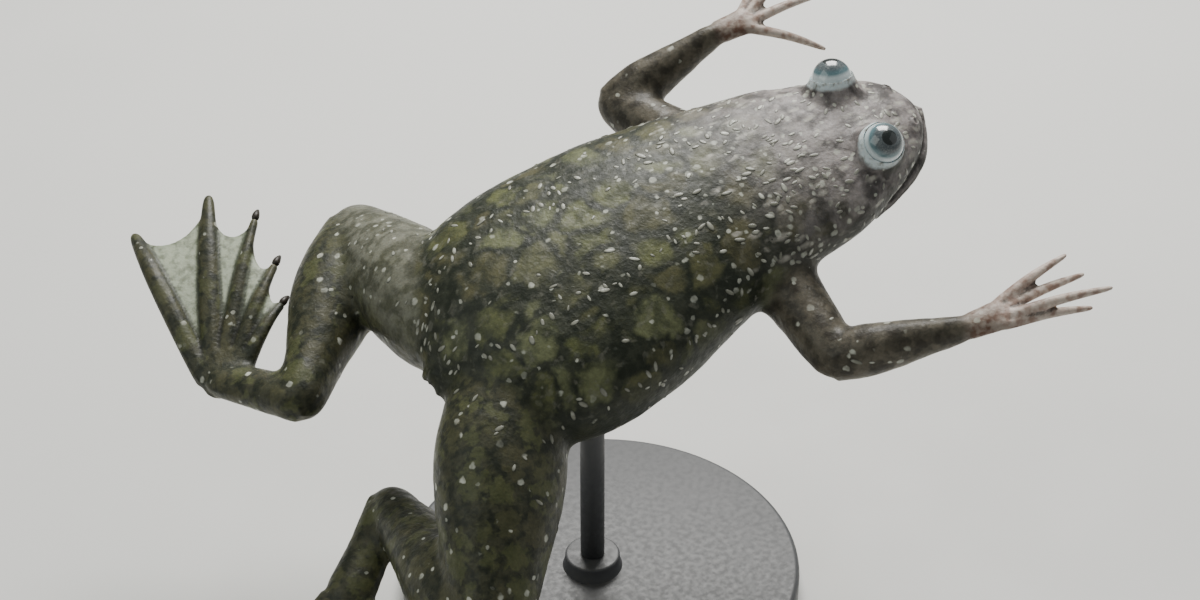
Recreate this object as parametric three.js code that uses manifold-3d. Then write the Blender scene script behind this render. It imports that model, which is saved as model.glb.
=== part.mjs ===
import * as THREE from "three";
import { mergeVertices } from "three/addons/utils/BufferGeometryUtils.js";
import Module from "manifold-3d";

// An African clawed frog in mid-water, hind legs folded, fingers reaching ahead, on a plain stand.
// Millimetres, +Z up. The frog heads along +X, with its left side at +Y.
// The origin is the centre of the stand's underside.

const wasm = await Module();
wasm.setup();

// Driving dimensions
const bodyLength = 105; // snout to vent
const cut = 0.3; // the gap between neighbouring pieces
const pitch = 18; // degrees that the nose points up
const bank = 13; // degrees that the right side hangs down
const standHeight = 76; // from the floor to the body's axis, over the middle of the base
const balancePlace = 0.36; // how far ahead of the vent that is

const share = (part) => part * bodyLength;
const rad = THREE.MathUtils.degToRad;
const vec = (x, y, z) => new THREE.Vector3(x, y, z);
const sides = { left: 1, right: -1 };

// Numbers between the rows of a table, joined smoothly. The first column is the place along it.
function between(rows, place) {
  const last = rows.length - 1;
  const at = THREE.MathUtils.clamp(place, rows[0][0], rows[last][0]);
  let i = 0;
  while (i < last - 1 && rows[i + 1][0] < at) i++;
  const [a, b] = [rows[i], rows[i + 1]];
  const step = b[0] - a[0];
  const u = (at - a[0]) / step;
  const slope = (k, column) => {
    const [low, high] = [rows[Math.max(k - 1, 0)], rows[Math.min(k + 1, last)]];
    return (high[column] - low[column]) / (high[0] - low[0]);
  };
  return a.slice(1).map((value, index) => {
    const column = index + 1;
    const rise = b[column] - value;
    const m0 = slope(i, column) * step;
    const m1 = slope(i + 1, column) * step;
    return value + u * (m0 + u * (3 * rise - 2 * m0 - m1 + u * (m0 + m1 - 2 * rise)));
  });
}

// How far a form has swelled at a distance from its round end.
function swell(distance, endRadius) {
  const left = 1 - THREE.MathUtils.clamp(distance / endRadius, 0, 1);
  return Math.sqrt(Math.max(0, 1 - left * left));
}

// A sphere drawn out: place(t, angle) gives the point at share t along it and at an angle round it.
function drawnOut(around, along, place) {
  const geometry = new THREE.SphereGeometry(1, around, along);
  const { position, uv } = geometry.attributes;
  for (let i = 0; i < position.count; i++) {
    const t = (1 - Math.cos(Math.PI * (1 - uv.getY(i)))) / 2;
    const point = place(t, 2 * Math.PI * uv.getX(i));
    position.setXYZ(i, point.x, point.y, point.z);
  }
  return geometry;
}

// A geometry as a solid for cutting and joining.
function solid(geometry) {
  const bare = geometry.clone();
  for (const name of Object.keys(bare.attributes)) {
    if (name !== "position") bare.deleteAttribute(name);
  }
  const merged = mergeVertices(bare, 1e-4);
  const faces = [];
  const index = merged.index.array;
  for (let i = 0; i < index.length; i += 3) {
    const [a, b, c] = [index[i], index[i + 1], index[i + 2]];
    if (a !== b && b !== c && a !== c) faces.push(a, b, c);
  }
  return new wasm.Manifold(
    new wasm.Mesh({
      numProp: 3,
      vertProperties: merged.attributes.position.array,
      triVerts: new Uint32Array(faces),
    }),
  );
}

const join = (solids) => solids.reduce((whole, next) => whole.add(next));
const clear = (made, others) => others.reduce((left, other) => left.subtract(other), made);
const bySize = (made) => made.decompose().sort((a, b) => b.volume() - a.volume());

// Head and trunk in one form, along the body's axis from the snout, at 0, to the vent, at 1
const trunkRows = [
  // place, half width, height above the axis, depth below it, in shares of the body's length
  [0.0, 0.072, 0.032, 0.03],
  [0.05, 0.096, 0.05, 0.043],
  [0.11, 0.13, 0.068, 0.062],
  [0.2, 0.168, 0.086, 0.086],
  [0.35, 0.2, 0.106, 0.114],
  [0.485, 0.23, 0.124, 0.136],
  [0.613, 0.255, 0.136, 0.15],
  [0.75, 0.265, 0.138, 0.148],
  [0.866, 0.248, 0.13, 0.132],
  [0.94, 0.206, 0.114, 0.112],
  [1.0, 0.14, 0.09, 0.088],
];
const snoutRound = 0.06;
const rumpRound = 0.18;
const sideSquareness = 2.2; // 2 is an ellipse
const headTurn = -8.5; // degrees to the left
const headLift = 0.02; // how far the snout is raised
const bendPlace = 0.62; // ahead of it the body's axis bends to the side and up
const bendRun = 0.4;
const trunkAround = 32;
const trunkAlong = 34;
const neckPlace = 0.285;

function axisPoint(place) {
  const ahead = Math.max(0, bendPlace - place);
  const turn = rad(headTurn) * Math.min(1, ahead / bendRun);
  const rise = share(headLift) * (ahead / bendPlace) ** 2;
  return vec(share(1 - place), share(ahead) * Math.tan(turn), rise);
}

function axisAhead(place) {
  const step = 0.01;
  return axisPoint(place - step).sub(axisPoint(place + step)).normalize();
}

// The direction to the body's left.
function axisSide(place) {
  const ahead = axisAhead(place);
  return vec(-ahead.y, ahead.x, 0).normalize();
}

const trunkPower = 2 / sideSquareness;

function trunkSize(place) {
  return swell(place, snoutRound) * swell(1 - place, rumpRound);
}

function trunkPoint(place, angle, grow = 0) {
  const size = trunkSize(place);
  const [width, top, bottom] = between(trunkRows, place).map((row) => share(row) * size + grow);
  const [c, s] = [Math.cos(angle), Math.sin(angle)];
  const across = Math.sign(c) * Math.abs(c) ** trunkPower * width;
  const up = Math.sign(s) * Math.abs(s) ** trunkPower * (s > 0 ? top : bottom);
  return axisPoint(place).addScaledVector(axisSide(place), across).add(vec(0, 0, up));
}

// The head and trunk, grown outwards where the space that they need is wanted.
function trunkGeometry(grow = 0) {
  const ends = share(1) + 2 * grow;
  return drawnOut(trunkAround, trunkAlong, (t, angle) => {
    const place = (t * ends - grow) / share(1);
    const inside = THREE.MathUtils.clamp(place, 0, 1);
    const tip = Math.min(t, 1 - t) < 1e-6;
    const point = tip ? axisPoint(inside) : trunkPoint(inside, angle, grow);
    return point.addScaledVector(axisAhead(inside), share(inside - place));
  });
}

const trunkSpace = solid(trunkGeometry(cut));

// The way out from the trunk's surface
function trunkNormal(place, angle) {
  const step = 0.004;
  const along = trunkPoint(place - step, angle).sub(trunkPoint(place + step, angle));
  const round = trunkPoint(place, angle + step).sub(trunkPoint(place, angle - step));
  return along.cross(round).normalize();
}

// A tapering form along a bent line. Its rows hold the share of its length, half width and half depth.
// It runs on past both ends of the line, so that two forms share a round joint.
function form({ line, rows, broad, around, along, overrun = 0.7 }, grow = 0) {
  const curve = new THREE.CatmullRomCurve3(line);
  const length = curve.getLength();
  const ends = [rows[0], rows[rows.length - 1]].map((row) => Math.max(row[1], row[2]));
  const [before, after] = ends.map((radius) => overrun * radius + grow);
  const whole = before + length + after;
  return solid(
    drawnOut(around, along, (t, angle) => {
      const distance = t * whole - before;
      const at = THREE.MathUtils.clamp(distance / length, 0, 1);
      const ahead = curve.getTangentAt(at);
      const side = broad.clone().addScaledVector(ahead, -broad.dot(ahead)).normalize();
      const over = side.clone().cross(ahead);
      const size = swell(t * whole, ends[0] + grow) * swell((1 - t) * whole, ends[1] + grow);
      const [width, depth] = between(rows, at).map((row) => (row + grow) * size);
      return curve
        .getPointAt(at)
        .addScaledVector(ahead, distance - at * length)
        .addScaledVector(side, Math.cos(angle) * width)
        .addScaledVector(over, Math.sin(angle) * depth);
    }),
  );
}

// A direction from the body's heading, turned outwards to one side, and raised, in degrees.
function heading([outwards, raised], side) {
  const [a, e] = [rad(outwards), rad(raised)];
  return vec(Math.cos(a) * Math.cos(e), side * Math.sin(a) * Math.cos(e), Math.sin(e));
}

// Places an upright geometry so that its +Z runs along a direction.
function stood(geometry, direction, point) {
  const turn = new THREE.Quaternion().setFromUnitVectors(vec(0, 0, 1), direction);
  return geometry.applyQuaternion(turn).translate(point.x, point.y, point.z);
}

// Eyes: a ball in a mound of skin, with a raised rim
const eyeRadius = share(0.037);
const eyeMound = share(0.046);
const eyeOpening = share(0.033); // radius of the rim
const eyeRim = share(0.0048);
const rimOut = 0.6; // how far the rim stands outside the opening, in its own radii
const eyeSeat = { place: 0.122, out: 0.08, up: 0.062 };
const eyeLean = { out: 27, ahead: 12 }; // degrees from straight up

function eyeParts(side) {
  const { place, out, up } = eyeSeat;
  const centre = axisPoint(place).addScaledVector(axisSide(place), side * share(out));
  centre.z += share(up);
  const axis = vec(0, 0, Math.cos(rad(eyeLean.out)))
    .addScaledVector(axisSide(place), side * Math.sin(rad(eyeLean.out)))
    .addScaledVector(axisAhead(place), Math.sin(rad(eyeLean.ahead)))
    .normalize();
  const rimHeight = Math.sqrt(eyeMound ** 2 - eyeOpening ** 2);
  const rise = rimHeight - Math.sqrt(eyeRadius ** 2 - eyeOpening ** 2);
  const ballAt = centre.clone().addScaledVector(axis, rise);
  const rimAt = centre.clone().addScaledVector(axis, rimHeight);
  const ball = (radius, point) => {
    const upright = new THREE.SphereGeometry(radius, 14, 9).rotateX(Math.PI / 2);
    return solid(stood(upright, axis, point));
  };
  const rim = new THREE.TorusGeometry(eyeOpening + eyeRim * rimOut, eyeRim, 5, 14);
  return {
    mound: ball(eyeMound, centre),
    rim: solid(stood(rim, axis, rimAt)),
    ball: ball(eyeRadius, ballAt),
    socket: ball(eyeRadius + cut, ballAt),
  };
}

// Nostrils: a small raised ring round a hole
const nostril = { place: 0.03, angle: 52, radius: 0.75, rim: 0.34, hole: 0.5 };

function nostrilParts(side) {
  const angle = rad(side > 0 ? nostril.angle : 180 - nostril.angle);
  const at = trunkPoint(nostril.place, angle);
  const out = trunkNormal(nostril.place, angle);
  return {
    ring: solid(stood(new THREE.TorusGeometry(nostril.radius, nostril.rim, 5, 10), out, at)),
    hole: solid(new THREE.SphereGeometry(nostril.hole, 8, 6).translate(at.x, at.y, at.z)),
  };
}

// Mouth: a groove round the snout between two lips, from one corner below the eye to the other
const mouth = { front: 0.007, corner: 0.175, drop: 0.018, fall: 0.18 };
const lips = { radius: 1.5, out: -1.12 };
const groove = { radius: 0.45, out: 0.3 };
const mouthEnd = 0.3; // how thin the lips and the groove get at the corners

// A point on the head's surface, below the axis by a drop. u runs from -1, the right corner, to 1.
function mouthPoint(u, out) {
  const place = mouth.front + (mouth.corner - mouth.front) * u * u;
  const drop = share(mouth.drop + mouth.fall * place);
  const bottom = share(between(trunkRows, place)[2]) * trunkSize(place);
  const sine = Math.min(1, Math.max(0, drop / bottom)) ** (1 / trunkPower);
  const low = Math.asin(sine);
  const angle = u > 0 ? -low : Math.PI + low;
  return trunkPoint(place, angle).addScaledVector(trunkNormal(place, angle), out);
}

function mouthLine({ radius, out }) {
  const line = [];
  for (let i = 0; i <= 10; i++) line.push(mouthPoint(i / 5 - 1, out));
  const sizes = [[0, mouthEnd], [0.25, 1], [0.75, 1], [1, mouthEnd]];
  const rows = sizes.map(([place, size]) => [place, radius * size, radius * size]);
  return form({ line, rows, broad: vec(0, 0, 1), around: 7, along: 16, overrun: 0.1 });
}

// Vent: three small lobes under the rump
const ventLobe = { place: 0.985, out: 1.9, up: 3.0, drop: 1.2, radius: 1.6, tip: vec(-1.3, 0.3, -1.2) };

function ventLobes() {
  return [-1, 0, 1].map((k) => {
    const seat = vec(0, k * ventLobe.out, ventLobe.up - ventLobe.drop * Math.abs(k));
    const root = axisPoint(ventLobe.place).add(seat);
    const tip = root.clone().add(vec(ventLobe.tip.x, k * ventLobe.tip.y, ventLobe.tip.z));
    const rows = [[0, ventLobe.radius, ventLobe.radius], [1, ventLobe.radius * 0.8, ventLobe.radius * 0.8]];
    return form({ line: [root, tip], rows, broad: vec(0, 0, 1), around: 8, along: 6 });
  });
}

function headAndTorso() {
  const eyes = Object.values(sides).map(eyeParts);
  const nostrils = Object.values(sides).map(nostrilParts);
  const whole = join([
    solid(trunkGeometry()),
    ...eyes.flatMap(({ mound, rim }) => [mound, rim]),
    ...nostrils.map(({ ring }) => ring),
    mouthLine(lips),
    ...ventLobes(),
  ]);
  const slab = new THREE.BoxGeometry(share(0.8), share(0.8), cut);
  const parted = clear(whole, [
    ...eyes.map(({ socket }) => socket),
    ...nostrils.map(({ hole }) => hole),
    mouthLine(groove),
    solid(stood(slab, axisAhead(neckPlace), axisPoint(neckPlace))),
  ]);
  const [torso, head] = bySize(parted);
  return { torso, head };
}

// Hind legs
const legLengths = { thigh: share(0.43), shank: share(0.435), tarsus: share(0.2) };
const toeLengths = [0.175, 0.255, 0.35, 0.4, 0.37].map(share); // from the inner toe outwards
const toeTurns = [-23, -15, -6, 6, 27]; // degrees from the foot's middle line
const legPoses = {
  left: {
    thigh: [89, -19],
    shank: [227, 12],
    tarsus: [115, -17],
    toes: [54, 6],
    footUp: [0.1, 0.1, 1],
  },
  right: {
    thigh: [130, -13],
    shank: [-87, -21],
    tarsus: [144, 5],
    toes: [132, -4],
    footUp: [0.05, -0.1, 1],
  },
};
const hip = { place: 0.9, out: 0.075, down: 0.01 };
const thighRows = [
  [0, 10.2, 10.2],
  [0.3, 12.6, 11.8],
  [0.55, 11.6, 10.8],
  [0.8, 8.8, 8.3],
  [1, 7.2, 6.8],
];
const shankRows = [
  [0, 6.8, 6.5],
  [0.25, 9.2, 8.5],
  [0.45, 9.2, 8.4],
  [0.72, 6.5, 6.0],
  [1, 4.9, 4.6],
];
const tarsusRows = [
  [0, 4.9, 4.4],
  [0.5, 4.5, 3.6],
  [1, 5.0, 3.2],
];
const clawedToeRows = [
  [0, 1.9, 1.8],
  [0.35, 1.7, 1.6],
  [0.7, 1.3, 1.2],
  [1, 0.8, 0.8],
];
const outerToeRows = [
  [0, 2.3, 2.1],
  [0.35, 2.3, 2.0],
  [0.7, 2.0, 1.7],
  [1, 1.4, 1.3],
];
const toeBow = [0, 0.9, 0.8, -1.4]; // each toe arches and its tip hangs
const outerToeBow = [0, 1.6, 2.0, -2.6];
const toeGap = 1.7; // between the roots of neighbouring toes
const clawCount = 3; // on the inner toes
const claw = { back: 1.1, ahead: 1.9, radius: 0.98, tip: 0.22 };
const webThickness = 0.7;
const webScallop = 0.16; // how far the web's edge dips between two toes

function leg(name) {
  const pose = legPoses[name];
  const side = sides[name];
  const start = axisPoint(hip.place).add(vec(0, side * share(hip.out), -share(hip.down)));
  const [thigh, shank, tarsus, toes] = ["thigh", "shank", "tarsus", "toes"].map((k) =>
    heading(pose[k], side),
  );
  const knee = start.clone().addScaledVector(thigh, legLengths.thigh);
  const ankle = knee.clone().addScaledVector(shank, legLengths.shank);
  const ball = ankle.clone().addScaledVector(tarsus, legLengths.tarsus);
  const bend = thigh.clone().cross(shank).normalize();
  const flat = vec(...pose.footUp).cross(toes).normalize(); // across the foot, to the frog's left
  const up = toes.clone().cross(flat);
  const pieces = {
    thigh: { line: [start, knee], rows: thighRows, broad: bend, around: 16, along: 13 },
    shank: { line: [knee, ankle], rows: shankRows, broad: bend, around: 14, along: 13 },
    tarsus: { line: [ankle, ball], rows: tarsusRows, broad: flat, around: 12, along: 8 },
  };
  const lines = toeLengths.map((length, i) => {
    const place = i - 2;
    const ahead = toes.clone().applyAxisAngle(up, side * rad(toeTurns[i]));
    const root = ball.clone().addScaledVector(flat, side * place * toeGap);
    const bow = i < toeTurns.length - 1 ? toeBow : outerToeBow;
    return bow.map((rise, k) =>
      root.clone().addScaledVector(ahead, (length * k) / 3).addScaledVector(up, rise),
    );
  });
  const toePieces = lines.map((line, i) => {
    const rows = i < clawCount ? clawedToeRows : outerToeRows;
    return { line, rows, broad: flat, around: 7, along: 8 };
  });
  const claws = lines.slice(0, clawCount).map((line) => clawPiece(line, flat, up));
  const solids = [
    ...toePieces.map((toe) => form(toe)),
    form({
      line: [ball.clone().addScaledVector(toes, -1), ball.clone().addScaledVector(toes, 6)],
      rows: [[0, 4.6, 2.8], [1, 5.2, 2.0]],
      broad: flat,
      around: 10,
      along: 6,
    }),
  ];
  for (let i = 0; i < lines.length - 1; i++) solids.push(web(lines[i], lines[i + 1], up));
  return { pieces, claws, foot: join(solids) };
}

function clawPiece(line, flat, up) {
  const tip = line[line.length - 1];
  const ahead = tip.clone().sub(line[line.length - 2]).normalize();
  const points = [-claw.back, 0.4, claw.ahead].map((reach, k) =>
    tip.clone().addScaledVector(ahead, reach).addScaledVector(up, [0, 0.05, -0.45][k]),
  );
  const rows = [[0, claw.radius, claw.radius], [0.5, 0.78, 0.78], [1, claw.tip, claw.tip]];
  return { line: points, rows, broad: flat, around: 8, along: 6, overrun: 0.2 };
}

// The web between two toes: a thin sheet whose far edge dips between their tips.
function web(oneLine, otherLine, up) {
  const [one, other] = [oneLine, otherLine].map((line) => new THREE.CatmullRomCurve3(line));
  const [rows, columns] = [6, 3];
  const place = (layer, u, v) => {
    const dip = 1 - webScallop * 4 * v * (1 - v);
    const t = 0.05 + u * 0.87 * dip;
    const point = one.getPointAt(t).lerp(other.getPointAt(t), v);
    return point.addScaledVector(up, (layer * webThickness) / 2);
  };
  const points = [];
  const faces = [];
  for (const layer of [-1, 1]) {
    for (let i = 0; i <= rows; i++) {
      for (let j = 0; j <= columns; j++) points.push(place(layer, i / rows, j / columns));
    }
  }
  const wide = columns + 1;
  const count = (rows + 1) * wide;
  for (let i = 0; i < rows; i++) {
    for (let j = 0; j < columns; j++) {
      const a = i * wide + j;
      for (const [p, q, r] of [[a, a + wide, a + wide + 1], [a, a + wide + 1, a + 1]]) {
        faces.push(p, q, r, count + p, count + r, count + q);
      }
    }
  }
  const rim = [];
  for (let j = 0; j < columns; j++) rim.push(j);
  for (let i = 0; i < rows; i++) rim.push(i * wide + columns);
  for (let j = columns; j > 0; j--) rim.push(rows * wide + j);
  for (let i = rows; i > 0; i--) rim.push(i * wide);
  rim.forEach((a, k) => {
    const b = rim[(k + 1) % rim.length];
    faces.push(a, b, count + b, a, count + b, count + a);
  });
  const geometry = new THREE.BufferGeometry().setFromPoints(points);
  const made = solid(geometry.setIndex(faces));
  return made.volume() > 0 ? made : solid(geometry.setIndex(faces.reverse()));
}

// Fore legs
const armPoses = {
  left: {
    upper: [103, -1],
    fore: [-11, 17],
    hand: [-14, 2],
    fingers: [[-36, -30], [-6, -10], [14, 2], [30, -4]],
  },
  right: {
    upper: [99, -2],
    fore: [34, 14],
    hand: [22, 10],
    fingers: [[0, 0], [7, -10], [25, 4], [20, -12]],
  },
};
const armLengths = { upper: share(0.21), fore: share(0.23), palm: share(0.06) };
const fingerLengths = [0.155, 0.175, 0.19, 0.16].map(share); // from the inner finger outwards
const fingerGap = 1.5; // between the roots of neighbouring fingers
const shoulder = { place: 0.36, out: 0.15, down: 0.045 };
const upperRows = [
  [0, 7.2, 6.6],
  [0.5, 6.2, 5.7],
  [1, 5.1, 4.8],
];
const foreRows = [
  [0, 4.9, 4.6],
  [0.3, 5.3, 4.8],
  [0.75, 3.6, 3.1],
  [1, 2.8, 2.4],
];
const palmRows = [
  [0, 2.6, 2.2],
  [1, 3.4, 1.7],
];
const fingerRows = [
  [0, 1.35, 1.25],
  [0.6, 1.05, 0.95],
  [1, 0.55, 0.55],
];

function arm(name) {
  const pose = armPoses[name];
  const side = sides[name];
  const start = axisPoint(shoulder.place)
    .addScaledVector(axisSide(shoulder.place), side * share(shoulder.out))
    .add(vec(0, 0, -share(shoulder.down)));
  const [upper, fore, hand] = ["upper", "fore", "hand"].map((k) => heading(pose[k], side));
  const elbow = start.clone().addScaledVector(upper, armLengths.upper);
  const wrist = elbow.clone().addScaledVector(fore, armLengths.fore);
  const knuckles = wrist.clone().addScaledVector(hand, armLengths.palm);
  const flat = vec(0, 0, 1).cross(hand).normalize(); // across the hand, to the frog's left
  const pieces = {
    upper_arm: { line: [start, elbow], rows: upperRows, broad: vec(0, 0, 1), around: 12, along: 9 },
    forearm: { line: [elbow, wrist], rows: foreRows, broad: vec(0, 0, 1), around: 12, along: 10 },
  };
  const palm = { line: [wrist, knuckles], rows: palmRows, broad: flat, around: 10, along: 7 };
  const fingers = pose.fingers.map((turned, i) => {
    const ahead = heading(turned, side);
    const root = knuckles.clone().addScaledVector(flat, side * (i - 1.5) * fingerGap);
    const middle = root.clone().addScaledVector(ahead, fingerLengths[i] * 0.5).add(vec(0, 0, 0.9));
    const tip = root.clone().addScaledVector(ahead, fingerLengths[i]);
    return form({ line: [root, middle, tip], rows: fingerRows, broad: flat, around: 7, along: 8 });
  });
  return { pieces, hand: join([form(palm), ...fingers]) };
}

// Stand
const base = { radius: 40, height: 6, edge: 1 };
const collar = { radius: 5.5, height: 3 };
const rod = { radius: 2.4, place: vec(-2, 0, 0) };

function standBase() {
  const outline = new THREE.Shape().absarc(0, 0, base.radius - base.edge, 0, 2 * Math.PI);
  const plate = new THREE.ExtrudeGeometry(outline, {
    depth: base.height - 2 * base.edge,
    bevelThickness: base.edge,
    bevelSize: base.edge,
    bevelSegments: 1,
    curveSegments: 18,
  });
  const ring = new THREE.CylinderGeometry(collar.radius, collar.radius, 2 * collar.height, 24);
  ring.rotateX(Math.PI / 2);
  ring.translate(rod.place.x, rod.place.y, base.height);
  return join([solid(plate.translate(0, 0, base.edge)), solid(ring)]);
}

// The rod stands on the collar and ends against the belly.
function standRod(body) {
  const foot = base.height + collar.height + cut;
  const post = new THREE.CylinderGeometry(rod.radius, rod.radius, standHeight - foot, 20);
  post.rotateX(Math.PI / 2);
  post.translate(rod.place.x, rod.place.y, (standHeight + foot) / 2);
  return bySize(solid(post).subtract(body)).find((piece) => piece.boundingBox().min[2] < foot + 1);
}

const material = (color, roughness) =>
  new THREE.MeshStandardMaterial({ color, roughness, metalness: 0 });

function node(name, made, finish) {
  const { numProp, vertProperties, triVerts } = made.getMesh();
  const geometry = new THREE.BufferGeometry();
  const points = new Float32Array((vertProperties.length / numProp) * 3);
  for (let i = 0; i < points.length / 3; i++) {
    points.set(vertProperties.subarray(i * numProp, i * numProp + 3), i * 3);
  }
  geometry.setAttribute("position", new THREE.BufferAttribute(points, 3));
  geometry.setIndex(new THREE.BufferAttribute(triVerts, 1));
  geometry.computeVertexNormals();
  const mesh = new THREE.Mesh(geometry, finish);
  mesh.name = name;
  return mesh;
}

const skin = material(0x5b5a45, 0.45);
const limbSkin = material(0x6a6650, 0.45);
const horn = material(0x16130f, 0.25);
const eyeGlass = material(0x9aa6ad, 0.1);
const standPaint = material(0x3a3b3d, 0.5);

const frog = new THREE.Group();
const largest = (made) => bySize(made)[0];
const { torso, head } = headAndTorso();
frog.add(node("torso", torso, skin), node("head", head, skin));

for (const name of Object.keys(sides)) {
  frog.add(node(`eye_${name}`, eyeParts(sides[name]).ball, eyeGlass));

  const fore = arm(name);
  const upperArm = clear(form(fore.pieces.upper_arm), [trunkSpace]);
  const forearm = clear(form(fore.pieces.forearm), [form(fore.pieces.upper_arm, cut), trunkSpace]);
  const hand = clear(fore.hand, [form(fore.pieces.forearm, cut)]);
  frog.add(node(`upper_arm_${name}`, largest(upperArm), limbSkin));
  frog.add(node(`forearm_${name}`, largest(forearm), limbSkin));
  frog.add(node(`hand_${name}`, largest(hand), limbSkin));

  const hind = leg(name);
  const { thigh, shank, tarsus } = hind.pieces;
  const clawSpaces = hind.claws.map((piece) => form(piece, cut));
  const [thighSpace, shankSpace, tarsusSpace] = [thigh, shank, tarsus].map((piece) => form(piece, cut));
  frog.add(node(`thigh_${name}`, largest(clear(form(thigh), [trunkSpace])), limbSkin));
  frog.add(node(`shank_${name}`, largest(clear(form(shank), [thighSpace, trunkSpace])), limbSkin));
  frog.add(node(`tarsus_${name}`, largest(clear(form(tarsus), [shankSpace, thighSpace])), limbSkin));
  const foot = clear(hind.foot, [tarsusSpace, shankSpace, ...clawSpaces]);
  frog.add(node(`foot_${name}`, largest(foot), limbSkin));
  hind.claws.forEach((piece, i) => frog.add(node(`claw_${name}_${i + 1}`, form(piece), horn)));
}

// The frog's stance on the stand
const stance = new THREE.Group();
stance.rotation.set(rad(bank), rad(-pitch), 0, "YXZ");
stance.position.set(0, 0, standHeight);
frog.position.set(-share(balancePlace), 0, 0);
stance.add(frog);

const model = new THREE.Group();
model.add(stance);
model.updateMatrixWorld(true);
const bodySpace = solid(trunkGeometry(cut).applyMatrix4(frog.matrixWorld));
model.add(node("stand_base", standBase(), standPaint));
model.add(node("stand_rod", standRod(bodySpace), standPaint));

export default model;
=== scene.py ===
"""The looks of an African clawed frog, a still model on a plain stand. Metres, in the solids' frame.

One skin takes the place of the head, torso and limbs: the solids are rounded, joined, smoothed and
given the forms that are too fine for them. Every mark on it is worked out from its own shape.
"""

import bmesh
import bpy
import numpy as np
from mathutils import Euler, Matrix, Vector
from mathutils.bvhtree import BVHTree
from mathutils.kdtree import KDTree


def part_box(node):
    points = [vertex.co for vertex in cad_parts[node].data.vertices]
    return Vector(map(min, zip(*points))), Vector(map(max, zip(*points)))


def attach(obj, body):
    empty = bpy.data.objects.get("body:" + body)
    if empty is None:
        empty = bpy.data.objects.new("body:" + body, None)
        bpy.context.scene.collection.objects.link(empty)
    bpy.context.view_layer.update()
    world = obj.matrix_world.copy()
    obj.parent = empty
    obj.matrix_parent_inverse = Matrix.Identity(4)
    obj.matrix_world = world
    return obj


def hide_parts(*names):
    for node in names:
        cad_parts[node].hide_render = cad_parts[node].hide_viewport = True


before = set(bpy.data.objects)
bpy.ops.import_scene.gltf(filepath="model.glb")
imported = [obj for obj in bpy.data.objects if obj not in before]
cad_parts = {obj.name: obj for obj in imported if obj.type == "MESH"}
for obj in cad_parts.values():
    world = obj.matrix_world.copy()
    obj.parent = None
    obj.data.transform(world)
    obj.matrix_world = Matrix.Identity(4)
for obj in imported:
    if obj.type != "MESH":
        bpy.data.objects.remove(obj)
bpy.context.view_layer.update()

MM = 0.001
SIDES = {"left": 1, "right": -1}

# The frog's stance, as on its stand
BODY_LENGTH = 105 * MM
PITCH = 18.0  # degrees that the nose points up
BANK = 13.0  # degrees that the right side hangs down
STAND_HEIGHT = 76 * MM
BALANCE = 0.36  # how far ahead of the vent the stand's middle is, as a share of the length
HEAD_YAW = 8.5  # degrees that the head turns to the right
HEAD_LIFT = 0.02 * BODY_LENGTH
BEND_PLACE, BEND_RUN = 0.62, 0.4
STANCE = Euler((np.radians(BANK), np.radians(-PITCH), 0), "YXZ").to_matrix()
FLESH = sorted(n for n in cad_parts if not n.startswith(("eye_", "claw_", "stand_")))
CLAWS = sorted(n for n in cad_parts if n.startswith("claw_"))

VOXEL = 0.33 * MM
JOIN = 0.24 * MM  # how far the solids are swelled so that the cuts between them close
SKIN_DEPTH = 0.05 * MM  # how far the finished skin lies inside the solids
FOLD_STEPS, LIP_STEPS = 90, 45  # rounds of filling folds and of evening out the lips' ends
LUMPS = ((0.22, 11, 1), (0.1, 4.6, 2), (0.05, 1.9, 3))  # height and size in millimetres, and seed
FACET_TURN, FACET_SKEW = 24, 50  # pairs of facets within these degrees are rounded as one face
FLESH_SHARP = 38  # edges of the solids that turn by more degrees stay sharp
DIGIT_SHARP = 75  # the same on hands and feet, whose fingers and toes have few sides
CLAW_SHARP = 60

EYE_LEAN = 27.0  # degrees that an eye looks away from straight up, to its side
EYE_AHEAD = 12.0  # and ahead
EYE_SWELL = 0.08 * MM  # how far the eyeball stands out of its solid
IRIS_RADIUS = 0.033 * BODY_LENGTH
CORNEA_BULGE = 0.1 * MM
STITCH_SIZE = (0.9 * MM, 0.4 * MM, 0.13 * MM)  # half length, half width and height
EYE_STITCHES = 13  # round each eye

rng = np.random.default_rng(11)


def smoothstep(low, high, value):
    t = np.clip((value - low) / (high - low), 0, 1)
    return t * t * (3 - 2 * t)


def noise(points, scale, seed):
    """Smooth random values between -1 and 1, one for each point."""
    spot = points / scale + seed * 17.31
    cell = np.floor(spot).astype(np.int64)
    f = spot - cell
    f = f * f * (3 - 2 * f)
    total = np.zeros(len(points))
    for corner in range(8):
        step = np.array([corner & 1, corner >> 1 & 1, corner >> 2 & 1])
        key = (cell + step) @ np.array([374761393, 668265263, 2147483647]) + seed * 9176
        key = (key ^ key >> 13) * 1274126177 & 0xFFFFFFFF
        value = (key >> 7 & 0xFFFF) / 32767.5 - 1
        total += value * np.prod(np.where(step, f, 1 - f), axis=1)
    return total


# Meshes as arrays


def points_of(mesh):
    co = np.empty(len(mesh.vertices) * 3)
    mesh.vertices.foreach_get("co", co)
    return co.reshape(-1, 3)


def normals_of(mesh):
    out = np.empty(len(mesh.vertices) * 3)
    mesh.vertices.foreach_get("normal", out)
    return out.reshape(-1, 3)


def move_points(mesh, co):
    mesh.vertices.foreach_set("co", co.ravel())
    mesh.update()


def tree_of(mesh):
    """A mesh's faces, for finding where rays meet them."""
    return BVHTree.FromPolygons(points_of(mesh).tolist(), [p.vertices[:] for p in mesh.polygons])


def store(mesh, **values):
    """Keeps numbers with the mesh's points, for its material."""
    for name, numbers in values.items():
        layer = mesh.attributes.new(name, "FLOAT", "POINT")
        layer.data.foreach_set("value", numbers.astype(np.float32))


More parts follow.
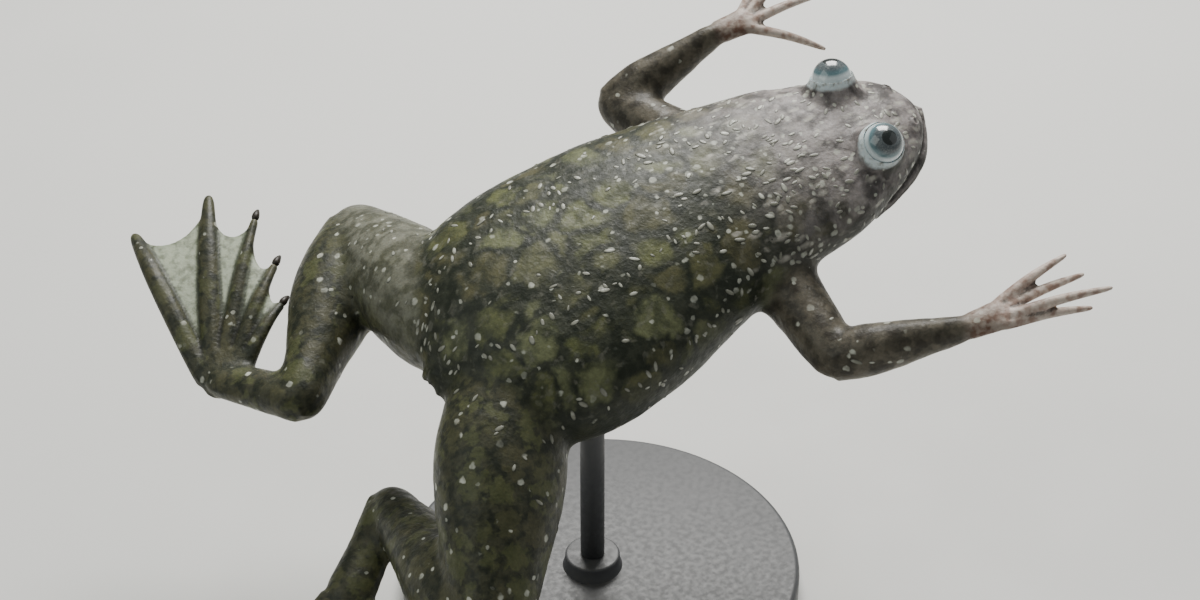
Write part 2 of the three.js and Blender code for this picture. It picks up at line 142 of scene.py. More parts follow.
class Net:
    """The edges of a mesh, for averages over each vertex's neighbours."""

    def __init__(self, mesh):
        edges = np.empty(len(mesh.edges) * 2, np.int32)
        mesh.edges.foreach_get("vertices", edges)
        edges = edges.reshape(-1, 2)
        self.edges = edges
        self.a = np.concatenate([edges[:, 0], edges[:, 1]])
        self.b = np.concatenate([edges[:, 1], edges[:, 0]])
        self.size = len(mesh.vertices)
        self.count = np.maximum(np.bincount(self.a, minlength=self.size), 1)

    def average(self, values):
        if values.ndim == 1:
            return np.bincount(self.a, weights=values[self.b], minlength=self.size) / self.count
        return np.stack([self.average(column) for column in values.T], axis=1)

    def spread(self, values, steps):
        for _ in range(steps):
            values = 0.5 * values + 0.5 * self.average(values)
        return values

    def grown(self, mask, steps):
        for _ in range(steps):
            mask = mask | (self.average(mask.astype(float)) > 0.01)
        return mask


def link(name, mesh):
    thing = bpy.data.objects.new(name, mesh)
    bpy.context.scene.collection.objects.link(thing)
    return thing


def baked(thing):
    """A thing's mesh with its modifiers worked in. The thing itself is removed."""
    depsgraph = bpy.context.evaluated_depsgraph_get()
    mesh = bpy.data.meshes.new_from_object(thing.evaluated_get(depsgraph))
    bpy.data.objects.remove(thing)
    return mesh


def add_piece(name, mesh, material, nodes=()):
    thing = link(name, mesh)
    mesh.materials.clear()
    mesh.materials.append(material)
    mesh.polygons.foreach_set("use_smooth", [True] * len(mesh.polygons))
    mesh.update()
    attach(thing, "root")
    if nodes:
        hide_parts(*nodes)


def rounded(node, sharp_degrees):
    """A node's solid with its facets rounded away and its sharp edges kept."""
    work = bmesh.new()
    work.from_mesh(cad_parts[node].data)
    bmesh.ops.remove_doubles(work, verts=work.verts, dist=2e-6)
    bmesh.ops.join_triangles(
        work,
        faces=work.faces,
        angle_face_threshold=np.radians(FACET_TURN),
        angle_shape_threshold=np.radians(FACET_SKEW),
    )
    crease = work.edges.layers.float.new("crease_edge")
    for edge in work.edges:
        if len(edge.link_faces) == 2 and edge.calc_face_angle(0) > np.radians(sharp_degrees):
            edge[crease] = 1.0
    mesh = bpy.data.meshes.new(node)
    work.to_mesh(mesh)
    work.free()
    thing = link(node, mesh)
    surface = thing.modifiers.new("rounded", "SUBSURF")
    surface.levels = 2
    surface.render_levels = 2
    return baked(thing)


# The body's own directions


FORWARD, DORSAL = np.array(STANCE.col[0]), np.array(STANCE.col[2])
MIDDLE = np.array([0, 0, STAND_HEIGHT])


def in_body(points):
    """Points in the body's own frame: place from snout 0 to vent 1, and metres to the left and up."""
    local = (points - MIDDLE) @ np.array(STANCE)
    return 1 - BALANCE - local[:, 0] / BODY_LENGTH, local[:, 1], local[:, 2]


def body_axis(place):
    """A point of the body's middle line at a share of the way from snout to vent."""
    ahead = max(0.0, BEND_PLACE - place)
    turn = np.radians(-HEAD_YAW) * min(1.0, ahead / BEND_RUN)
    rise = HEAD_LIFT * (ahead / BEND_PLACE) ** 2
    local = [BODY_LENGTH * (1 - BALANCE - place), BODY_LENGTH * ahead * np.tan(turn), rise]
    return MIDDLE + np.array(STANCE) @ local


# Eyes: where they sit, and which way they look


def eye_facts(name):
    low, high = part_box(f"eye_{name}")
    turn = np.radians(HEAD_YAW)
    ahead = Vector((np.cos(turn), -np.sin(turn), 0))
    side = Vector((np.sin(turn), np.cos(turn), 0)) * SIDES[name]
    lean = np.radians(EYE_LEAN)
    forward = ahead * np.sin(np.radians(EYE_AHEAD))
    axis = Vector((0, 0, np.cos(lean))) + side * np.sin(lean) + forward
    return {
        "centre": np.array((low + high) / 2),
        "radius": float(min(high - low)) / 2,
        "axis": np.array((STANCE @ axis).normalized()),
    }


EYES = {name: eye_facts(name) for name in SIDES}


# Skin


def joined_flesh():
    """All the flesh in one closed mesh, and for each node its rounded points."""
    work = bmesh.new()
    points = {}
    for node in FLESH:
        mesh = rounded(node, DIGIT_SHARP if node.startswith(("hand", "foot")) else FLESH_SHARP)
        co = points_of(mesh)
        points[node] = co
        move_points(mesh, co + normals_of(mesh) * JOIN)
        work.from_mesh(mesh)
        bpy.data.meshes.remove(mesh)
    mesh = bpy.data.meshes.new("skin")
    work.to_mesh(mesh)
    work.free()
    thing = link("skin_work", mesh)
    remesh = thing.modifiers.new("joined", "REMESH")
    remesh.mode = "VOXEL"
    remesh.voxel_size = VOXEL
    return baked(thing), points


def nearest_node(co, points):
    total = sum(len(p) for p in points.values())
    tree = KDTree(total)
    owner = np.empty(total, int)
    at = 0
    for k, node in enumerate(FLESH):
        for p in points[node]:
            tree.insert(p, at)
            owner[at] = k
            at += 1
    tree.balance()
    return np.array([owner[tree.find(p)[1]] for p in co])


def thickness(mesh, chosen, longest):
    """How thick the flesh is under each chosen vertex."""
    tree = tree_of(mesh)
    co, normals = points_of(mesh), normals_of(mesh)
    out = np.full(len(co), longest)
    for i in np.flatnonzero(chosen):
        start = Vector(co[i] - normals[i] * 0.02 * MM)
        hit = tree.ray_cast(start, Vector(-normals[i]), longest)
        if hit[0] is not None:
            out[i] = hit[3]
    return out


def taubin(co, net, weight, steps):
    """Evens out small bumps without shrinking the form."""
    for _ in range(steps):
        for pull in (0.55, -0.57):
            co = co + pull * weight[:, None] * (net.average(co) - co)
    return co


def about_eye(eye, co):
    """Points seen from an eye's middle: how far off in all, how far along its axis, and the rest."""
    offset = co - eye["centre"]
    along = offset @ eye["axis"]
    return np.linalg.norm(offset, axis=1), along, offset - along[:, None] * eye["axis"]


def by_part(owner):
    """For each part of the frog, 1 at its points and 0 elsewhere. Left and right are one part."""
    kind = np.array([n.rsplit("_", 1)[0] for n in FLESH])[owner]
    return {name: (kind == name).astype(float) for name in sorted(set(kind))}


def head_detail(co, head, place, up):
    """The forms of the head that the smoothing keeps: eye mounds, mouth and nostrils."""
    keep = np.zeros(len(co))
    for eye in EYES.values():
        away = about_eye(eye, co)[0]
        keep = np.maximum(keep, smoothstep(eye["radius"] * 2.0, eye["radius"] * 1.4, away))
    mouth = smoothstep(0.17, 0.12, place) * smoothstep(4 * MM, 1 * MM, up)
    snout = smoothstep(0.08, 0.05, place)
    return np.maximum(keep, head * np.maximum(mouth, snout))


def fold_reach(net, co, owner, head, keep):
    """Where folds fill out: along the cuts between the nodes, and in the moats round the eyes."""
    seam = np.zeros(len(co), bool)
    parted = net.edges[owner[net.edges[:, 0]] != owner[net.edges[:, 1]]]
    seam[parted.ravel()] = True
    reach = net.grown(seam, 13).astype(float) * (1 - keep)
    for eye in EYES.values():
        away, along, _ = about_eye(eye, co)
        moat = smoothstep(9 * MM, 7 * MM, away) * smoothstep(0.9 * MM, -0.3 * MM, along)
        reach = np.maximum(reach, moat * head)
    return net.spread(reach, 6)


def fill_folds(mesh, net, co, reach):
    """Fills folds as flesh does. Points only move outwards."""
    for step in range(FOLD_STEPS):
        if step % 10 == 0:
            move_points(mesh, co)
            normals = normals_of(mesh)
        pull = net.average(co) - co
        outwards = np.einsum("ij,ij->i", pull, normals)
        co = co + normals * (0.6 * reach * np.maximum(outwards, 0))[:, None]
    return co


def run_out_lips(net, co, head, place, up, reach):
    """Evens the lips out into the cheeks at both corners of the mouth."""
    corners = head * smoothstep(0.135, 0.16, place) * smoothstep(0.235, 0.2, place)
    corners = net.spread(corners * smoothstep(3 * MM, 1 * MM, up) * (1 - reach), 8)
    for _ in range(LIP_STEPS):
        pull = net.average(co) - co
        co = co + 0.6 * corners[:, None] * pull
    return co


def eye_rings(co):
    """The pale ring round each eye, palest behind it."""
    outer, inner = 5.9 * MM, 4.9 * MM
    ring = np.zeros(len(co))
    for eye in EYES.values():
        _, along, round_it = about_eye(eye, co)
        across = np.linalg.norm(round_it, axis=1)
        near = smoothstep(outer, inner, across) * smoothstep(-1.5 * MM, 0.3 * MM, along)
        backwards = round_it @ (DORSAL * 0.4 - FORWARD) / np.maximum(across, 1e-6)
        behind = smoothstep(-0.7, 0.5, backwards)
        ring = np.maximum(ring, near * (0.55 + 0.45 * behind) * (along < 9 * MM))
    return ring


def skin_masks(mesh, net, co, part):
    """For each mark of the material, how strong it is at each point, from 0 to 1."""
    normals = normals_of(mesh)
    place, left, _ = in_body(co)
    facing = normals @ DORSAL
    ends = part["hand"] + part["foot"]
    thin = thickness(mesh, net.grown(ends > 0.5, 2), 6 * MM)
    arm = part["upper_arm"] + part["forearm"] + part["hand"]
    trunk = part["torso"] + part["head"]
    hollow = np.einsum("ij,ij->i", net.average(co) - co, normals)
    lit_left_top = (left > 0) * smoothstep(-0.1, 0.75, facing)
    return {
        "head": net.spread(trunk, 60) * smoothstep(0.46, 0.17, place),
        "place": np.clip(place, 0, 1.2),
        "belly": net.spread(trunk, 40) * smoothstep(-0.5, -0.86, facing),
        "under": net.spread(1 - trunk, 20) * smoothstep(-0.1, -0.8, facing),
        # flanks: partly dark pigment and partly painted shade, stronger as the skin turns down from
        # the back
        "flank_pigment_and_shade": net.spread(trunk, 30) * smoothstep(0.62, -0.1, facing),
        "limb": net.spread(1 - trunk, 40),
        "arm": net.spread(arm, 60),
        # painted light: the top of the left thigh, where light falls, is painted paler
        "thigh": net.spread(part["thigh"], 90) * lit_left_top,
        "hand": net.spread(part["hand"], 260),
        "digit": net.spread(smoothstep(3.4 * MM, 2.4 * MM, thin) * part["hand"], 10),
        "web": net.spread(smoothstep(1.25 * MM, 0.85 * MM, thin) * part["foot"], 3),
        "ring": eye_rings(co),
        # painted shade: how deep each point lies in a narrow fold
        "crease_shade": smoothstep(0.004 * MM, 0.028 * MM, hollow),
    }


def skin_relief(net, co, part, web, ring):
    """How far the skin's lumps and grain stand out, least on the webs, fingers and lids."""
    ends = part["hand"] + part["foot"]
    soft = net.spread((1 - web) * (1 - 0.85 * np.maximum(ends, ring)), 4)
    muscle = net.spread((part["thigh"] + part["shank"]) * soft, 10)
    relief = np.zeros(len(co))
    for height, size, seed in LUMPS:
        relief += height * noise(co, size * MM, seed)
    relief += 0.2 * muscle * noise(co * [1, 1, 1.6], 8 * MM, 5)
    relief += 0.022 * noise(co, 0.85 * MM, 4)
    return relief * soft * MM


def build_skin():
    mesh, points = joined_flesh()
    net = Net(mesh)
    co = points_of(mesh) - normals_of(mesh) * (JOIN + SKIN_DEPTH)
    owner = nearest_node(co, points)
    part = by_part(owner)
    ends = part["hand"] + part["foot"]
    head = part["head"]
    place, _, up = in_body(co)

    keep = head_detail(co, head, place, up)
    calm = net.spread(1 - 0.72 * np.maximum(keep, ends), 12)
    co = taubin(co, net, calm, 14)
    reach = fold_reach(net, co, owner, head, keep)
    co = fill_folds(mesh, net, co, reach)
    co = taubin(co, net, np.minimum(calm, 1), 6)
    co = run_out_lips(net, co, head, place, up, reach)
    move_points(mesh, co)

    masks = skin_masks(mesh, net, co, part)
    relief = skin_relief(net, co, part, masks["web"], masks["ring"])
    move_points(mesh, co + normals_of(mesh) * relief[:, None])
    store(mesh, **masks)
    return mesh


# Materials


class Graph:
    """A material's nodes, made and joined in short lines."""

    def __init__(self, name):
        self.material = bpy.data.materials.new(name)
        self.material.use_nodes = True
        self.tree = self.material.node_tree
        self.shader = self.tree.nodes["Principled BSDF"]
        self.place = self.add("ShaderNodeTexCoord").outputs["Object"]

    def add(self, kind, **settings):
        node = self.tree.nodes.new(kind)
        for key, value in settings.items():
            setattr(node, key, value)
        return node

    def join(self, source, target):
        if isinstance(source, tuple):
            target.default_value = (*source, 1) if target.type == "RGBA" else source
        elif isinstance(source, (int, float)):
            target.default_value = source
        else:
            self.tree.links.new(source, target)

    def mask(self, name):
        return self.add("ShaderNodeAttribute", attribute_name=name).outputs["Fac"]

    def noise(self, size, detail=3.0, place=None):
        node = self.add("ShaderNodeTexNoise")
        self.join(place or self.place, node.inputs["Vector"])
        node.inputs["Scale"].default_value = 1 / size
        node.inputs["Detail"].default_value = detail
        return node.outputs["Fac"]

    def cells(self, size, feature, place, output="Distance"):
        node = self.add("ShaderNodeTexVoronoi", feature=feature)
        self.join(place, node.inputs["Vector"])
        node.inputs["Scale"].default_value = 1 / size
        return node.outputs[output]

    def math(self, operation, a, b):
        node = self.add("ShaderNodeMath", operation=operation)
        self.join(a, node.inputs[0])
        self.join(b, node.inputs[1])
        return node.outputs[0]

    def steps(self, value, low, high, start=0.0, end=1.0):
        node = self.add("ShaderNodeMapRange", interpolation_type="SMOOTHSTEP")
        self.join(value, node.inputs["Value"])
        sockets = {"From Min": low, "From Max": high, "To Min": start, "To Max": end}
        for socket, number in sockets.items():
            node.inputs[socket].default_value = number
        return node.outputs[0]

    def mix(self, share, a, b):
        node = self.add("ShaderNodeMix", data_type="RGBA", blend_type="MIX")
        self.join(share, node.inputs[0])
        self.join(a, node.inputs[6])
        self.join(b, node.inputs[7])
        return node.outputs[2]

    def times(self, a, b):
        return self.math("MULTIPLY", a, b)

    def clouds(self, size, detail, low, high, place=None, ends=(0.0, 1.0)):
        """Noise as soft patches: one end of a range where it is below low, the other above high."""
        return self.steps(self.noise(size, detail, place), low, high, *ends)

    def stretched(self, place, amounts):
        node = self.add("ShaderNodeVectorMath", operation="MULTIPLY")
        self.join(place, node.inputs[0])
        node.inputs[1].default_value = amounts
        return node.outputs[0]

    def warped(self, size, amount):
        """The place, pushed about by noise, so that patterns aren't regular."""
        push = self.add("ShaderNodeTexNoise")
        self.join(self.place, push.inputs["Vector"])
        push.inputs["Scale"].default_value = 1 / size
        push.inputs["Detail"].default_value = 2.0
        centred = self.add("ShaderNodeVectorMath", operation="SUBTRACT")
        self.join(push.outputs["Color"], centred.inputs[0])
        centred.inputs[1].default_value = (0.5, 0.5, 0.5)
        scaled = self.add("ShaderNodeVectorMath", operation="SCALE")
        self.join(centred.outputs[0], scaled.inputs[0])
        scaled.inputs["Scale"].default_value = amount
        moved = self.add("ShaderNodeVectorMath", operation="ADD")
        self.join(self.place, moved.inputs[0])
        self.join(scaled.outputs[0], moved.inputs[1])
        return moved.outputs[0]

    def bump(self, height, strength, distance):
        node = self.add("ShaderNodeBump")
        self.join(height, node.inputs["Height"])
        node.inputs["Strength"].default_value = strength
        node.inputs["Distance"].default_value = distance
        self.join(node.outputs[0], self.shader.inputs["Normal"])

    def set(self, **values):
        for key, value in values.items():
            self.join(value, self.shader.inputs[key.replace("_", " ")])


# Colours, as linear shares of red, green and blue
DARK = (0.013, 0.017, 0.009)
OLIVE = (0.125, 0.135, 0.052)
BROWN = (0.098, 0.092, 0.045)
KHAKI = (0.160, 0.172, 0.085)
GREY = (0.190, 0.185, 0.150)
GROUND = (0.034, 0.038, 0.024)
# the legs' dark tones are partly painted shade, and the left thigh's pale tones are painted light
LEG_DARK, LEG_PALE = (0.016, 0.019, 0.011), (0.052, 0.052, 0.03)
LIT_THIGH_DARK, LIT_THIGH_PALE = (0.080, 0.081, 0.056), (0.215, 0.215, 0.168)
ARM_DARK, ARM = (0.040, 0.034, 0.025), (0.120, 0.105, 0.078)
MAUVE = (0.300, 0.270, 0.262)
DUSK = (0.075, 0.066, 0.064)
BUFF, CREAM = (0.30, 0.27, 0.17), (0.520, 0.470, 0.330)
FINGER, KNUCKLE = (0.560, 0.480, 0.420), (0.30, 0.21, 0.17)
WRIST, PALM = (0.130, 0.070, 0.048), (0.30, 0.25, 0.21)
WEB, VEIN = (0.420, 0.470, 0.340), (0.17, 0.2, 0.12)
PALE = (0.520, 0.530, 0.455)
HEAD_DOT = (0.43, 0.41, 0.36)
RING = (0.640, 0.730, 0.750)
# painted shade in narrow folds
SHADE_BLACK = (0.008, 0.009, 0.007)


def blotches(g, size, warp, fine, rag):
    """Rounded patches with ragged edges, and a random value for each."""
    ragged = g.times(g.math("SUBTRACT", g.noise(size * 0.26, 5.0, fine), 0.5), rag)
    edge = g.math("ADD", g.cells(size, "DISTANCE_TO_EDGE", warp), ragged)
    middle = g.math("SUBTRACT", g.cells(size, "F1", warp), ragged)
    patch = g.times(g.steps(edge, 0.0, 0.22), g.steps(middle, 0.74, 0.42))
    return patch, g.cells(size, "F1", warp, "Color")


def add_dots(g, colour, place, size, radius, soft, share, mask, pale):
    """Pale dots, each of its own brightness, where the mask allows."""
    away = g.cells(size, "F1", place)
    chosen = g.cells(size, "F1", place, "Color")
    picked = g.steps(g.math("ADD", chosen, mask), 1 - share, 1.04 - share)
    bright = g.clouds(2.1 * MM, 2.0, 0.3, 0.7, ends=(0.3, 0.9))
    dot = g.times(g.steps(away, radius + soft, radius), g.times(picked, bright))
    return g.mix(dot, colour, pale)


def back_colour(g, warp, fine):
    """Rounded blotches on a dark ground."""
    patch, chance = blotches(g, 7.6 * MM, warp, fine, 0.4)
    tone = g.mix(g.steps(chance, 0.2, 0.5), OLIVE, BROWN)
    tone = g.mix(g.steps(chance, 0.55, 0.8), tone, KHAKI)
    tone = g.mix(g.clouds(3 * MM, 4.0, 0.4, 0.66, fine, (0.0, 0.6)), tone, DARK)
    ground = g.mix(g.clouds(2.4 * MM, 5.0, 0.4, 0.62), DARK, GROUND)
    back = g.mix(g.times(patch, 0.9), ground, tone)
    return g.mix(g.times(g.clouds(1.9 * MM, 5.0, 0.55, 0.7, warp), 0.35), back, GREY)


def limb_colour(g, warp, fine):
    """Finer mottling, grey brown on the arms; dark on the legs, partly with painted shade, and paler
    with painted light on the top of the left thigh.
    """
    patch, chance = blotches(g, 5.6 * MM, warp, fine, 0.85)
    # the legs' dark mottling is partly dark skin and partly painted shade
    leg = g.mix(g.clouds(2.0 * MM, 6.0, 0.36, 0.66, fine), LEG_DARK, LEG_PALE)
    leg = g.mix(g.times(patch, 0.44), leg, g.mix(g.steps(chance, 0.3, 0.7), BROWN, OLIVE))
    # painted light: a paler, lit copy of the mottling on the top of the left thigh
    lit_thigh = g.mix(g.clouds(3 * MM, 6.0, 0.36, 0.62, warp), LIT_THIGH_DARK, LIT_THIGH_PALE)
    leg = g.mix(g.times(g.mask("thigh"), 0.78), leg, lit_thigh)
    arm = g.mix(g.clouds(2.6 * MM, 5.0, 0.36, 0.64, fine), ARM_DARK, ARM)
    return g.mix(g.mask("arm"), leg, arm)


def add_hands_and_webs(g, colour, fine):
    palm = g.mix(g.clouds(2 * MM, 5.0, 0.36, 0.62), WRIST, PALM)
    colour = g.mix(g.steps(g.mask("hand"), 0.15, 0.75), colour, palm)
    finger = g.mix(g.clouds(1.6 * MM, 5.0, 0.38, 0.66), FINGER, KNUCKLE)
    colour = g.mix(g.mask("digit"), colour, finger)
    web = g.mix(g.clouds(1.6 * MM, 6.0, 0.4, 0.7, fine), WEB, VEIN)
    return g.mix(g.mask("web"), colour, web)


def add_pale_dots(g, colour, fine):
    """Round dots, most on the neck and shoulders, and long ones on the head."""
    neck = g.times(g.steps(g.mask("place"), 0.62, 0.38), g.steps(g.mask("limb"), 0.5, 0.1))
    bare = g.math("MAXIMUM", g.math("MAXIMUM", g.mask("web"), g.mask("belly")), g.mask("digit"))
    often = g.math("SUBTRACT", g.times(neck, 0.16), g.times(bare, 2.0))
    colour = add_dots(g, colour, fine, 1.5 * MM, 0.2, 0.14, 0.2, often, PALE)
    colour = add_dots(g, colour, fine, 2.8 * MM, 0.16, 0.12, 0.3, often, PALE)
    front = g.math("SUBTRACT", g.math("MAXIMUM", g.mask("head"), neck), 1.0)
    long = g.stretched(fine, (0.42, 1.0, 1.0))
    return add_dots(g, colour, long, 1.7 * MM, 0.12, 0.36, 0.5, front, HEAD_DOT)


def skin_material():
    g = Graph("frog_skin")
    warp = g.warped(7 * MM, 5.5 * MM)
    fine = g.warped(1.3 * MM, 1.0 * MM)

    colour = g.mix(g.mask("limb"), back_colour(g, warp, fine), limb_colour(g, warp, fine))
    head = g.mix(g.clouds(3.4 * MM, 6.0, 0.34, 0.62, warp), DUSK, MAUVE)
    colour = g.mix(g.mask("head"), colour, head)
    colour = g.mix(g.times(g.clouds(0.7 * MM, 6.0, 0.36, 0.64), 0.2), colour, DARK)

    # flanks darken, partly dark pigment and partly painted shade on the skin that turns down from the
    # back, and the belly and the undersides are cream
    colour = g.mix(g.times(g.mask("flank_pigment_and_shade"), 0.85), colour, DARK)
    belly = g.mix(g.clouds(5 * MM, 4.0, 0.34, 0.58, fine), BUFF, CREAM)
    colour = g.mix(g.mask("belly"), colour, belly)
    colour = g.mix(g.times(g.mask("under"), 0.5), colour, belly)

    colour = add_hands_and_webs(g, colour, fine)
    colour = add_pale_dots(g, colour, fine)

    # painted shade, dark in narrow folds, less so at the eyes, and the pale rings round the eyes
    hollow = g.times(g.mask("crease_shade"), g.steps(g.mask("ring"), 0.3, 0.0, 0.1, 0.7))
    colour = g.mix(hollow, colour, SHADE_BLACK)
    ragged = g.times(g.math("SUBTRACT", g.noise(0.9 * MM, 4.0), 0.5), 0.9)
    ring = g.mix(g.clouds(1.2 * MM, 4.0, 0.45, 0.8), RING, GREY)
    ringed = g.steps(g.math("ADD", g.mask("ring"), g.times(ragged, g.mask("ring"))), 0.2, 0.9)
    g.set(Base_Color=g.mix(ringed, colour, ring))

    g.set(Roughness=g.clouds(1.5 * MM, 4.0, 0.3, 0.7, ends=(0.42, 0.62)), Specular_IOR_Level=0.24)
    g.set(Subsurface_Weight=0.1, Subsurface_Scale=1.5 * MM, Coat_Weight=0.07, Coat_Roughness=0.2)
    g.shader.inputs["Subsurface Radius"].default_value = (0.5, 0.34, 0.22)
    g.set(Alpha=g.steps(g.mask("web"), 0.35, 1.0, 1.0, 0.72))
    grains = g.math("ADD", g.cells(0.75 * MM, "F1", fine), g.times(g.noise(0.3 * MM, 4.0), 0.8))
    g.bump(grains, 0.4, 0.14 * MM)
    return g.material


def stitch_material():
    g = Graph("pale_stitch")
    bright = g.mix(g.clouds(0.5 * MM, 4.0, 0.35, 0.7), PALE, (0.36, 0.36, 0.3))
    crest = g.mix(g.clouds(3.2 * MM, 2.0, 0.42, 0.68), (0.19, 0.19, 0.15), bright)
    skin_tone = g.mix(g.mask("head"), (0.06, 0.062, 0.044), (0.22, 0.205, 0.195))
    g.set(Base_Color=g.mix(g.steps(g.mask("crest"), 0.15, 1.0), skin_tone, crest))
    g.set(Roughness=g.clouds(0.5 * MM, 3.0, 0.3, 0.7, ends=(0.35, 0.55)))
    g.set(Coat_Weight=0.12, Coat_Roughness=0.2)
    g.bump(g.noise(0.2 * MM, 3.0), 0.2, 0.05 * MM)
    return g.material


def eye_material():
    g = Graph("frog_eye")
    away = g.mask("away")  # 0 at the middle of the pupil, 1 at the rim of the iris
    flecks = g.noise(0.35 * MM, 5.0)
    iris = g.mix(g.steps(flecks, 0.35, 0.7), (0.085, 0.105, 0.115), (0.17, 0.19, 0.19))
    iris = g.mix(g.clouds(2.4 * MM, 2.0, 0.4, 0.65, ends=(0.0, 0.6)), iris, (0.055, 0.07, 0.08))
    iris = g.mix(g.steps(away, 0.7, 0.95), iris, (0.11, 0.2, 0.225))
    iris = g.mix(g.steps(away, 0.92, 1.04), iris, RING)
    wavy = g.math("ADD", away, g.times(g.noise(0.9 * MM), 0.05))
    colour = g.mix(g.steps(wavy, 0.41, 0.48), (0.006, 0.011, 0.010), iris)
    g.set(Base_Color=colour, Roughness=g.steps(flecks, 0.3, 0.7, 0.16, 0.3))
    g.set(Coat_Weight=1.0, Coat_Roughness=0.03)
    return g.material


def claw_material():
    g = Graph("black_horn")
    g.set(Base_Color=g.mix(g.noise(0.5 * MM, 4.0), (0.008, 0.007, 0.006), (0.05, 0.04, 0.03)))
    g.set(Roughness=g.clouds(0.3 * MM, 3.0, 0.3, 0.7, ends=(0.36, 0.52)), Specular_IOR_Level=0.3)
    g.bump(g.noise(0.25 * MM, 4.0), 0.25, 0.05 * MM)
    return g.material


def stand_material():
    g = Graph("stand_paint")
    g.set(Base_Color=g.mix(g.noise(9 * MM, 3.0), (0.060, 0.062, 0.066), (0.074, 0.076, 0.08)))
    g.set(Roughness=g.clouds(1.2 * MM, 4.0, 0.3, 0.7, ends=(0.42, 0.56)))
    g.bump(g.noise(0.4 * MM, 2.0), 0.12, 0.05 * MM)
    return g.material


def floor_material():
    g = Graph("floor")
    g.set(Base_Color=g.mix(g.noise(120 * MM, 3.0), (0.66, 0.66, 0.64), (0.71, 0.71, 0.69)))
    g.set(Roughness=g.clouds(30 * MM, 3.0, 0.3, 0.7, ends=(0.6, 0.75)))
    return g.material


# Stitches: short pale ridges of the lateral line, laid on the skin in rows. Angles are in degrees.


def stitch_rows():
    """For each stitch its place, its angle round the body and its turn from the body's line."""
    spots = []
    for side in (1, -1):
        rows = [
            ([(p, 50 - 8 * abs(p - 0.6)) for p in np.linspace(0.25, 0.95, 34)], 90),
            ([(p, 14 - 10 * (p - 0.3)) for p in np.linspace(0.3, 0.94, 27)], 90),
            ([(p, -30) for p in np.linspace(0.36, 0.86, 16)], 60),
            ([(0.965, a) for a in np.linspace(78, 0, 12)], 0),
            ([(0.25 + 0.0012 * (90 - a), a) for a in np.linspace(86, 8, 12)], 0),
            ([(p, 68) for p in np.linspace(0.035, 0.085, 4)], 80),
            ([(p, -6) for p in np.linspace(0.03, 0.22, 9)], 80),
            ([(rng.uniform(0.2, 0.5), rng.uniform(-10, 88)) for _ in range(55)], 20),
            ([(rng.uniform(0.5, 0.97), rng.uniform(-40, 88)) for _ in range(40)], 40),
        ]
        for row, turn in rows:
            for place, angle in row:
                spots.append((place, angle if side > 0 else 180 - angle, turn * side))
    return spots


def unit_ball(around, along):
    work = bmesh.new()
    bmesh.ops.create_uvsphere(work, u_segments=around, v_segments=along, radius=1.0)
    points = np.array([vert.co[:] for vert in work.verts])
    faces = [[vert.index for vert in face.verts] for face in work.faces]
    work.free()
    return points, faces


def stitch_frame(out, along, size):
    """The matrix that lays a ball of three radii on the skin, long side along a direction."""
    out = out.normalized()
    along = (along - out * along.dot(out)).normalized()
    return np.array((along, out.cross(along), out)).T * size


def build_stitches(tree):
    """All the stitches in one mesh: rows on the body, then a ring round each eye."""
    laid = []
    ahead = Vector(FORWARD)
    for place, angle, turn in stitch_rows():
        place = place + rng.normal(0, 0.007)
        angle = np.radians(angle + rng.normal(0, 2.6))
        aim = np.array(STANCE) @ np.array([0, np.cos(angle), np.sin(angle)])
        hit, out, _, far = tree.ray_cast(Vector(body_axis(place)), Vector(aim), 60 * MM)
        if hit is None or far < 4 * MM:
            continue
        lie = np.radians(turn + rng.normal(0, 24))
        along = ahead * np.cos(lie) + out.cross(ahead) * np.sin(lie)
        size = np.array(STITCH_SIZE) * rng.uniform(0.55, 1.2) * rng.uniform(0.8, 1.2, 3)
        laid.append((hit, stitch_frame(out, along, size)))
    for eye in EYES.values():
        axis = Vector(eye["axis"])
        first = axis.cross(Vector((0, 0, 1))).normalized()
        second = axis.cross(first)
        for k in range(EYE_STITCHES):
            spin = 2 * np.pi * (k + rng.uniform(-0.3, 0.3)) / EYE_STITCHES
            ray = first * np.cos(spin) + second * np.sin(spin)
            start = Vector(eye["centre"]) + ray * rng.uniform(6.2, 7.6) * MM + axis * 12 * MM
            hit, out, _, _ = tree.ray_cast(start, -axis, 22 * MM)
            if hit is not None:
                size = np.array(STITCH_SIZE) * rng.uniform(0.6, 1.0)
                laid.append((hit, stitch_frame(out, ray, size)))
    ball, faces = unit_ball(10, 8)
    points = np.concatenate([ball @ turn.T + np.array(where) for where, turn in laid])
    count = len(ball)
    every = [[i + count * k for i in face] for k in range(len(laid)) for face in faces]
    mesh = bpy.data.meshes.new("stitches")
    mesh.from_pydata(points.tolist(), [], every)
    store(mesh, crest=np.tile(np.clip(ball[:, 2], 0, 1), len(laid)))
    store(mesh, head=smoothstep(0.46, 0.17, in_body(points)[0]))
    return mesh


# Eyes


def build_eye(eye):
    """A ball with a slightly bulging cornea. It keeps how far each point is from the pupil."""
    work = bmesh.new()
    ball_radius = eye["radius"] + EYE_SWELL
    bmesh.ops.create_uvsphere(work, u_segments=72, v_segments=48, radius=ball_radius)
    mesh = bpy.data.meshes.new("eye")
    work.to_mesh(mesh)
    work.free()
    co = points_of(mesh)
    across = np.linalg.norm(co[:, :2], axis=1) / IRIS_RADIUS
    front = co[:, 2] > 0
    co[:, 2] += front * CORNEA_BULGE * np.sqrt(np.clip(1 - across**2, 0, 1))
    store(mesh, away=np.where(front, across, 1.3))
    turn = np.array(Vector((0, 0, 1)).rotation_difference(Vector(eye["axis"])).to_matrix())
    move_points(mesh, co @ turn.T + eye["centre"])
    return mesh


# Stand


